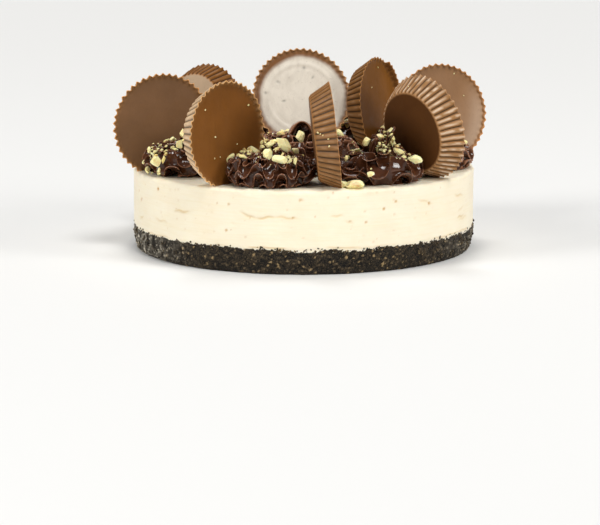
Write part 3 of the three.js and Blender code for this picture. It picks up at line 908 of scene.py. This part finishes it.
def make_swirl(node):
    size, how = SWIRLS[node][2], SWIRLS[node][5]
    shells = [ruffled(swirl_path(node), how)]
    for n, points in enumerate(TAILS.get(node, [])):
        shells.append(ruffled(tail_path(points), dict(how, fins=6, sway=0.45, wave=9, loop=0.5, shift=2.5 * n, wild=0.2)))
    if node == "swirl_middle":
        shells.append(arch_rows())
    verts, quads, tris, n = [], [], [], 0
    for rows in shells:
        v, q, t = capped(rows)
        verts.append(v)
        quads.append(q + n)
        tris.append(t + n)
        n += len(v)
    o = new_object(node + "_body", np.concatenate(verts), np.concatenate(quads), np.concatenate(tris))
    mod = o.modifiers.new("r", "REMESH")
    mod.mode = "VOXEL"
    mod.voxel_size = (0.25 if size < 1.2 else 0.32) * MM
    mod.use_smooth_shade = True
    mod = o.modifiers.new("s", "SMOOTH")
    mod.factor, mod.iterations = 0.6, 4
    evaluated(o)
    mod = o.modifiers.new("d", "DECIMATE")
    mod.ratio = min(1.0, SWIRL_TRIANGLES.get(node, 36000) / (2 * len(o.data.polygons)))
    tidied(evaluated(o))
    o.data.polygons.foreach_set("use_smooth", np.full(len(o.data.polygons), True))
    # height: how far each point stands out; from it the ganache paints the lips lighter (painted highlight) and the
    # hollows darker (painted shade)
    at = o.data.attributes.new("height", "FLOAT", "POINT")
    at.data.foreach_set("value", np.clip(0.5 + relief(o, 8) / 1.6, 0, 1).astype(np.float32))
    o.data.materials.clear()
    o.data.materials.append(GANACHE)
    return piece(o, "ganache", node)


def envelope(nodes=SWIRLS):
    """The swirls without their hollows, which is what a nut as large as a lip is wide lies on."""
    verts, faces = [], []
    for node in nodes:
        C, out, ahead, rope, s = swirl_path(node, 160)
        F = np.linspace(0, 2 * math.pi, 24, endpoint=False)
        P = C[:, None, :] + 0.94 * rope[:, None, None] * (np.cos(F)[None, :, None] * out[:, None, :] + np.sin(F)[None, :, None] * np.array([0, 0, 0.92]))
        v, q, t = capped(P)
        off = len(verts)
        verts += [tuple(c) for c in v]
        faces += [[off + i for i in f] for f in q.tolist() + t.tolist()]
    return BVHTree.FromPolygons(verts, faces)


# ---------------------------------------------------------------- chopped nuts
def cut_piece(rng, level, corners, lo, hi, bevel):
    """One chopped piece about 2 units wide: a blunt block with flat cut faces, some corners cut off as well."""
    bm = bmesh.new()
    bmesh.ops.create_icosphere(bm, subdivisions=level, radius=1)
    sides = [Vector(c) for c in ((1, 0, 0), (-1, 0, 0), (0, 1, 0), (0, -1, 0), (0, 0, 1), (0, 0, -1))]
    rng.shuffle(sides)
    cuts = [(n + Vector(rng.normal(size=3) * 0.22)).normalized() for n in sides[: 5 if level > 1 else 4]]
    cuts += [Vector(rng.normal(size=3)).normalized() for _ in range(corners)]
    for i, n in enumerate(cuts):
        d = rng.uniform(lo, hi) if i < 5 else rng.uniform(0.66, 0.85)
        geom = bm.verts[:] + bm.edges[:] + bm.faces[:]
        bmesh.ops.bisect_plane(bm, geom=geom, plane_co=n * d, plane_no=n, clear_outer=True)
        open_edges = [e for e in bm.edges if e.is_boundary]
        if open_edges:
            bmesh.ops.holes_fill(bm, edges=open_edges, sides=0)
    bmesh.ops.dissolve_limit(bm, angle_limit=0.06, verts=bm.verts[:], edges=bm.edges[:])
    if bevel:
        sharp = [e for e in bm.edges if len(e.link_faces) == 2 and e.calc_face_angle(0) > 0.45]
        bmesh.ops.bevel(bm, geom=sharp, offset=bevel, segments=1, affect="EDGES", clamp_overlap=True)
    bmesh.ops.remove_doubles(bm, verts=bm.verts[:], dist=0.004)
    bmesh.ops.triangulate(bm, faces=bm.faces[:])
    bm.verts.index_update()
    v = np.array([x.co[:] for x in bm.verts])
    f = np.array([[y.index for y in x.verts] for x in bm.faces])
    bm.free()
    v -= (v.max(0) + v.min(0)) / 2
    return v / np.abs(v).max(), f


def cut_pieces():
    rng = np.random.default_rng(5)
    big = [cut_piece(rng, 2, 3, 0.48, 0.72, 0.03) for _ in range(20)]
    mid = [cut_piece(rng, 1, 2, 0.45, 0.72, 0.0) for _ in range(14)]
    small = [cut_piece(rng, 1, 1, 0.4, 0.7, 0.0) for _ in range(8)]
    return {3: big, 2: mid, 1: small}


PIECES = cut_pieces()


def chunk(rng, size, level, planes=9, long=1.0):
    """A chopped piece, size mm across its middle width and long times that in length."""
    v, f = PIECES[level][rng.integers(len(PIECES[level]))]
    turn = Matrix.Rotation(rng.uniform(0, 6.28), 3, "X") @ Matrix.Rotation(rng.uniform(0, 6.28), 3, "Z")
    p = v @ np.array(turn).T
    p = p / (p.max(0) - p.min(0)) * np.array([long, rng.uniform(0.75, 1.0), rng.uniform(0.45, 0.75)]) * size
    return p, f


def turn_matrix(rng, normal):
    """A random rotation about a surface normal, tipped a little."""
    z = Vector(normal) + Vector(rng.normal(size=3) * 0.35)
    z.normalize()
    q = z.to_track_quat("Z", "Y").to_matrix() @ Matrix.Rotation(rng.uniform(0, 2 * math.pi), 3, "Z")
    return np.array(q)


class Heap:
    """Many small solids in one mesh."""

    def __init__(self):
        self.v, self.f, self.tone, self.n = [], [], [], 0

    def add(self, verts, faces, tone):
        self.v.append(verts)
        self.f.append(faces + self.n)
        self.tone.append(np.full(len(verts), tone))
        self.n += len(verts)

    def make(self, name, material, slot, extra=None):
        v, f, tone = np.concatenate(self.v), np.concatenate(self.f), np.concatenate(self.tone)
        attrs = {"tone": tone}
        if extra:
            attrs.update({k: np.zeros(len(v)) for k in extra})
        o = new_object(name, v, tris=f, attributes=attrs, smooth_shade=False)
        o.data.materials.append(material)
        return piece(o, slot)


def tree_of(objects):
    verts, faces = [], []
    for o in objects:
        off = len(verts)
        co = np.zeros(len(o.data.vertices) * 3)
        o.data.vertices.foreach_get("co", co)
        verts += [tuple(c) for c in co.reshape(-1, 3) / MM]
        faces += [[off + i for i in p.vertices] for p in o.data.polygons]
    return BVHTree.FromPolygons(verts, faces)


# tone is how pale each piece looks in the frame, so pieces lying in shade were given a low, deeper yellow tone: partly
# painted shade
PX_NUTS = [  # x, y in the frame, length and width in mm, how the length lies (degrees up from the horizontal), tone
    # on the front swirl
    (227.5, 155.0, 6.5, 2.6, 47, 0.8), (245.0, 147.8, 3.9, 2.3, -50, 0.5), (241.5, 151.4, 2.9, 2.3, 20, 0.5),
    (242.6, 156.9, 4.6, 1.9, -20, 0.6), (254.1, 147.8, 7.0, 4.2, -38, 0.8), (266.9, 153.9, 5.3, 4.6, 80, 0.95),
    (258.4, 138.7, 2.4, 1.8, 90, 0.5), (265.0, 136.9, 2.2, 1.6, 30, 0.6), (270.5, 144.2, 4.7, 2.8, 30, 0.7),
    (274.7, 139.3, 4.0, 2.2, 15, 0.6), (276.5, 149.2, 2.5, 2.0, 10, 0.5), (284.4, 145.0, 9.0, 5.8, -55, 0.85),
    (279.6, 159.9, 7.5, 4.1, -10, 0.95), (295.3, 152.6, 4.7, 3.9, 90, 0.85), (295.3, 160.5, 3.7, 1.7, 75, 0.7),
    (289.9, 161.1, 2.1, 1.7, 45, 0.8), (286.2, 156.9, 1.6, 1.3, 0, 0.5), (284.4, 134.6, 2.8, 1.8, 10, 0.1),
    (262.6, 146.6, 2.0, 1.6, 0, 0.6), (248.5, 154.0, 1.7, 1.3, 0, 0.6), (270.0, 148.5, 1.5, 1.2, 40, 0.4),
    (302.0, 155.7, 2.2, 1.6, 0, 0.0), (236.0, 151.0, 1.6, 1.2, 20, 0.6), (251.0, 141.5, 1.8, 1.3, 60, 0.5),
    # on the front left swirl
    (149.3, 149.8, 3.3, 2.3, 88, 0.85), (154.7, 152.2, 2.4, 1.9, 10, 0.7), (154.9, 161.0, 5.0, 4.5, -20, 0.95),
    (143.3, 161.8, 2.3, 1.4, 88, 0.8), (153.0, 143.8, 1.9, 1.2, 88, 0.6), (160.5, 145.3, 1.6, 1.3, 20, 0.7),
    (165.0, 141.2, 2.2, 1.5, 45, 0.5), (168.0, 139.6, 2.0, 1.3, 20, 0.6), (172.0, 132.5, 3.0, 2.5, 30, 0.8),
    (174.5, 134.3, 2.0, 1.5, 0, 0.6), (180.0, 131.5, 4.4, 3.4, 70, 0.7), (179.4, 144.0, 4.4, 3.4, 80, 0.75),
    (175.0, 149.0, 3.4, 1.3, -15, 0.6), (172.5, 147.5, 2.4, 1.6, 30, 0.7), (163.5, 160.0, 3.9, 1.7, 68, 0.1),
    (166.0, 154.0, 2.0, 1.5, 70, 0.3), (156.0, 155.3, 2.0, 1.2, 5, 0.1), (159.4, 169.8, 2.9, 1.5, 80, 0.7),
    (158.6, 174.0, 1.8, 1.7, 0, 0.7), (144.4, 175.3, 3.7, 2.6, -70, 0.6), (149.6, 177.0, 1.3, 1.1, 0, 0.6),
    # on the front right swirl
    (363.2, 139.0, 4.5, 4.0, 60, 0.75), (351.4, 145.7, 2.6, 2.3, 0, 0.7), (356.4, 144.2, 4.0, 2.3, 12, 0.8),
    (382.7, 130.0, 4.0, 2.5, -10, 0.8), (387.8, 140.7, 6.0, 4.4, -12, 0.8), (380.0, 139.0, 2.1, 2.0, 0, 0.9),
    (394.0, 143.0, 2.6, 1.8, -60, 0.9), (384.4, 145.5, 4.4, 2.0, 5, 0.8), (397.8, 150.8, 5.4, 4.0, -38, 0.85),
    (398.4, 143.8, 2.9, 0.8, 15, 1.0), (395.6, 136.2, 4.2, 0.8, 76, 0.9), (398.6, 131.0, 2.6, 0.8, 80, 0.9),
    (415.2, 159.1, 7.2, 4.0, -15, 0.95), (404.0, 157.0, 2.5, 1.8, 10, 0.7), (378.3, 150.2, 2.0, 1.7, 60, 0.7),
    (371.0, 174.3, 3.5, 2.7, 20, 0.9), (371.0, 168.7, 1.0, 0.9, 0, 0.9), (346.4, 158.2, 3.0, 1.7, 82, 0.4),
    (353.0, 152.8, 1.1, 0.9, 0, 0.8), (389.5, 151.0, 1.6, 1.2, 30, 0.8), (409.0, 154.6, 1.9, 1.3, -30, 0.6),
    # round the middle
    (340.6, 131.0, 5.4, 4.2, -50, 0.85), (295.0, 129.3, 2.1, 1.4, 10, 0.0), (468.0, 137.5, 3.2, 2.6, 30, 0.7),
]
PX_ARCH_NUT = (300.1, 136.1, 5.3, 4.8, 60, 0.85)  # in the mouth of the middle swirl's arch
LOW_NUTS = [  # lying flat on the mousse near its rim: x, y, length, width and thickness in mm, turn, tone
    (24.4, -78.8, 9.6, 8.0, 4.6, 4, 0.98), (18.6, -75.0, 5.4, 4.6, 3.4, -10, 0.9),
]
PX_DUST = [  # x, y in the frame, spread in frame pixels, how many: finely chopped bits
    (262, 141, 7, 22), (244, 153, 5, 14), (289, 158, 6, 14), (276, 146, 9, 12), (254, 152, 9, 8),
    (159, 150, 6, 20), (153, 157, 5, 10), (170, 139, 6, 9), (160, 172, 4, 4),
    (383, 149, 6, 24), (404, 155, 6, 12), (386, 134, 6, 10), (356, 142, 6, 7), (346, 158, 3, 5),
]


def make_nuts(swirls, mousse):
    rng = np.random.default_rng(42)
    tree = tree_of(swirls)
    over = envelope()
    floor = tree_of([mousse])
    heap = Heap()

    def seat(at, normal, size, long, tone, level, sink=0.22):
        p, f = chunk(rng, size, level, long=long)
        m = turn_matrix(rng, normal)
        low = (p @ m.T) @ np.array(normal)
        q = p @ m.T + np.array(at) - np.array(normal) * (low.min() * (1 - sink))
        heap.add(q, f, tone)

    def facing(x, y, long, wide, turn, tone, on, lean=0.45, sink=0.3, thick=None, level=3):
        """A piece laid on the swirl so that its outline is the one seen at a pixel of the frame."""
        o, d = sight(x, y)
        at, normal, _, _ = on.ray_cast(o, d, 3000)
        if at is None:  # the line of sight passes just over the swirl: the nearest place on it carries the piece
            best = None
            for t in np.arange(990, 1140, 1.5):
                q = o + d * t
                p, n, _, gap = on.find_nearest(q)
                if p is not None and (best is None or gap < best[0]):
                    best = (gap, p, n)
            if best is None or best[0] > 5:
                return
            _, at, normal = best
        if normal.dot(d) > 0 and on is not tree:
            normal = (normal - d * normal.dot(d)).normalized()
        right = Vector((1, 0, 0))
        up = right.cross(d).normalized()
        a = math.radians(turn)
        ax = (right * math.cos(a) + up * math.sin(a)).normalized()
        az = (-d * (1 - lean) + normal * lean)
        az = (az - ax * az.dot(ax)).normalized()
        ay = az.cross(ax)
        p, f = chunk(rng, 1.0, level)
        p = p / (p.max(0) - p.min(0)) * np.array([long, wide, thick or wide * rng.uniform(0.55, 0.75)])
        q = p @ np.array([ax[:], ay[:], az[:]])
        high = -(q @ np.array(normal)).min() * (1 - sink)
        centre = at - d * (high / max(-d.dot(normal), 0.45))
        heap.add(q + np.array(centre), f, tone)

    ones = {node: envelope([node]) for node in ("swirl_front", "swirl_front_left", "swirl_front_right", "swirl_middle", "swirl_right")}
    for x, y, long, wide, turn, tone in PX_NUTS:
        if x < 190:
            node = "swirl_front_left"
        elif x < 300 and y > 132:
            node = "swirl_front"
        elif x < 344:
            node = "swirl_middle"
        else:
            node = "swirl_front_right" if x < 430 else "swirl_right"
        facing(x, y, long, wide, turn, tone, ones[node], level=3 if long > 2.4 else 2)
    facing(*PX_ARCH_NUT, tree, lean=0.2, sink=0.45)
    for x, y, long, wide, thick, turn, tone in LOW_NUTS:
        a = math.radians(turn)
        at, _, _, _ = floor.ray_cast(Vector((x, y, TOP_Z + 50)), Vector((0, 0, -1)), 100)
        ax = Vector((math.cos(a), math.sin(a), 0))
        p, f = chunk(rng, 1.0, 3)
        p = p / (p.max(0) - p.min(0)) * np.array([long, wide, thick])
        q = p @ np.array([ax[:], (Vector((0, 0, 1)).cross(ax))[:], (0, 0, 1)])
        heap.add(q + np.array(at) + [0, 0, thick * 0.42], f, tone)
    for x, y, spread, count in PX_DUST:
        for _ in range(count):
            o, d = sight(x + rng.normal() * spread * 0.55, y + rng.normal() * spread * 0.4)
            at, normal, _, _ = tree.ray_cast(o, d, 3000)
            if at is not None:
                seat(at, (normal + Vector((0, 0, 0.5))).normalized(), rng.uniform(0.5, 1.5), rng.uniform(1, 1.5), rng.uniform(0.5, 1), 1)
    # smaller bits over the upper part of every swirl, thicker near its peak
    for node, (angle, ring, size, height, turn, how) in SWIRLS.items():
        a = math.radians(angle)
        c = Vector((ring * math.sin(a), -ring * math.cos(a), TOP_Z))
        seen = node in ("swirl_front_left", "swirl_front", "swirl_front_right")
        for kind, count, lo, hi, level in (("big", 3 if seen else 16, 3.0, 6.0, 3), ("mid", 8 if seen else 20, 1.4, 2.6, 2), ("dust", 26 if seen else 50, 0.4, 1.2, 1)):
            for _ in range(count):
                r, t = 15.5 * size * math.sqrt(rng.uniform()) * rng.uniform(0.5, 1), rng.uniform(0, 2 * math.pi)
                p = c + Vector((r * math.cos(t), r * math.sin(t), 60))
                if kind == "big" and seen and math.sin(t) < 0.2:
                    continue
                if node == "swirl_middle" and abs(p.x + 1) < 8 and -18 < p.y < -2:  # the arch stays bare
                    continue
                at, normal, _, _ = (over if kind == "big" else tree).ray_cast(p, Vector((0, 0, -1)), 100)
                if at is None or at.z < TOP_Z + 2:
                    continue
                big = rng.uniform(lo, hi)
                up = (normal + Vector((0, 0, 0.4))).normalized()
                seat(at, up, big, rng.uniform(1, 1.4), rng.uniform(0.2, 0.95), level)
    o = heap.make("chopped_nuts", NUTS, "mousse")
    return o


PX_FACE_BITS = [  # x, y in the frame, size in mm: specks of nut that cling to the cups
    (248, 105, 1.1), (205, 110, 0.7), (215, 137, 0.7), (237, 144, 0.6), (220, 157, 0.5), (214.5, 158.5, 0.7),
    (377.5, 67.5, 0.7), (371.5, 87.5, 0.8), (454, 73.5, 0.6), (463.5, 95.5, 0.6), (408.5, 86.5, 0.5),
    (390.5, 130, 2.2), (318, 132.5, 0.9), (320.5, 134, 0.6), (323, 135.5, 0.6), (328.5, 139, 0.8), (329.5, 146.5, 0.8),
    (342, 155, 0.8), (341.5, 163, 0.7), (342.5, 167, 0.7),
]


def make_face_bits(cups):
    rng = np.random.default_rng(9)
    tree = tree_of(cups)
    heap = Heap()
    for x, y, size in PX_FACE_BITS:
        o, d = sight(x, y)
        at, normal, _, _ = tree.ray_cast(o, d, 3000)
        if at is None:
            continue
        p, f = chunk(rng, size, 2, long=1.3)
        m = turn_matrix(rng, normal)
        low = ((p @ m.T) @ np.array(normal)).min()
        heap.add(p @ m.T + np.array(at) - np.array(normal) * (low * 0.8), f, rng.uniform(0.6, 1.0))
    return heap.make("nut_specks", NUTS, "mousse")


def make_crumbs():
    """Loose crumbs that cling along the line between base and mousse, and over the base's side."""
    rng = np.random.default_rng(77)
    heap = Heap()
    for i in range(560):
        phi = rng.uniform(-math.pi, math.pi)
        if i < 80:  # at the line
            z = BASE_H + float(wobble(np.array([phi]))[0]) + rng.uniform(-0.5, 0.35)
            size = rng.uniform(0.5, 1.2) if rng.uniform() < 0.9 else rng.uniform(1.2, 1.7)
        else:
            z = rng.uniform(0.6, BASE_H - 0.8)
            size = rng.uniform(0.5, 1.5)
        inward = 1.1 * (1 - float(smooth(np.array(z), 0, 0.7 * BASE_H))) + 0.8 * (1 - float(smooth(np.array(z), 0, 1.3)))
        p, f = chunk(rng, size, 2 if size > 0.9 else 1, planes=7, long=rng.uniform(1, 1.4))
        out = np.array([math.sin(phi), -math.cos(phi), 0])
        m = turn_matrix(rng, out)
        at = out * (CAKE_R + 0.1 - inward) + np.array([0, 0, max(z, size * 0.45)])
        heap.add(p @ m.T + at, f, rng.uniform(0, 1) ** 1.6)
    o = heap.make("loose_crumbs", CRUMB, "crumb", extra=["pale", "painted_light_and_dust"])
    return o


# ---------------------------------------------------------------- build
base = make_base()
mousse = make_mousse()
cups = [make_cup(node, k) for k, node in enumerate(CUPS)]
swirls = [make_swirl(node) for node in SWIRLS]
nuts = make_nuts(swirls, mousse)
crumbs = make_crumbs()
specks = make_face_bits(cups)

# ---------------------------------------------------------------- stage
m = Nodes("floor")
m.set(base_color=(0.82, 0.82, 0.81), roughness=0.8, specular_ior_level=0.05)
me = bpy.data.meshes.new("floor")
bm = bmesh.new()
bmesh.ops.create_circle(bm, cap_ends=True, segments=96, radius=4.0)
bm.to_mesh(me)
bm.free()
floor = bpy.data.objects.new("floor", me)
floor.location = (0, 0, -0.0002)
me.materials.append(m.mat)
bpy.context.scene.collection.objects.link(floor)

world = bpy.data.worlds.new("world")
bpy.context.scene.world = world
world.use_nodes = True
world.node_tree.nodes["Background"].inputs[0].default_value = (0.97, 0.97, 0.98, 1)
world.node_tree.nodes["Background"].inputs[1].default_value = 0.2


def softbox(name, at, size, power, colour=(1, 1, 1), aim=(0, 0, 0.045)):
    data = bpy.data.lights.new(name, "AREA")
    data.shape = "RECTANGLE"
    data.size, data.size_y = size
    data.energy = power
    data.color = colour
    o = bpy.data.objects.new(name, data)
    o.location = at
    o.rotation_euler = (Vector(aim) - Vector(at)).to_track_quat("-Z", "Y").to_euler()
    bpy.context.scene.collection.objects.link(o)
    return o


def sun(name, at, strength, spread, colour=(1, 1, 1)):
    data = bpy.data.lights.new(name, "SUN")
    data.energy = strength
    data.angle = math.radians(spread)
    data.color = colour
    o = bpy.data.objects.new(name, data)
    o.rotation_euler = (-Vector(at)).to_track_quat("-Z", "Y").to_euler()
    bpy.context.scene.collection.objects.link(o)
    return o


sun("front_sun", (0.3, -0.5, 0.95), 1.35, 18, (1.0, 0.99, 0.97))
sun("left_sun", (-0.85, -0.45, 0.45), 1.3, 18, (1.0, 0.99, 0.97))
sun("right_sun", (0.85, -0.45, 0.4), 0.85, 18, (1.0, 0.985, 0.96))
sun("top_sun", (-0.1, 0.35, 1.0), 0.75, 24)
softbox("key", (-0.42, -0.8, 0.5), (0.12, 0.14), 0.7)
softbox("fill", (0.75, -0.5, 0.3), (0.1, 0.18), 0.6)
softbox("top", (0.0, 0.15, 0.9), (0.16, 0.12), 0.6)

bpy.context.scene.view_settings.view_transform = "Standard"
bpy.context.scene.view_settings.look = "None"
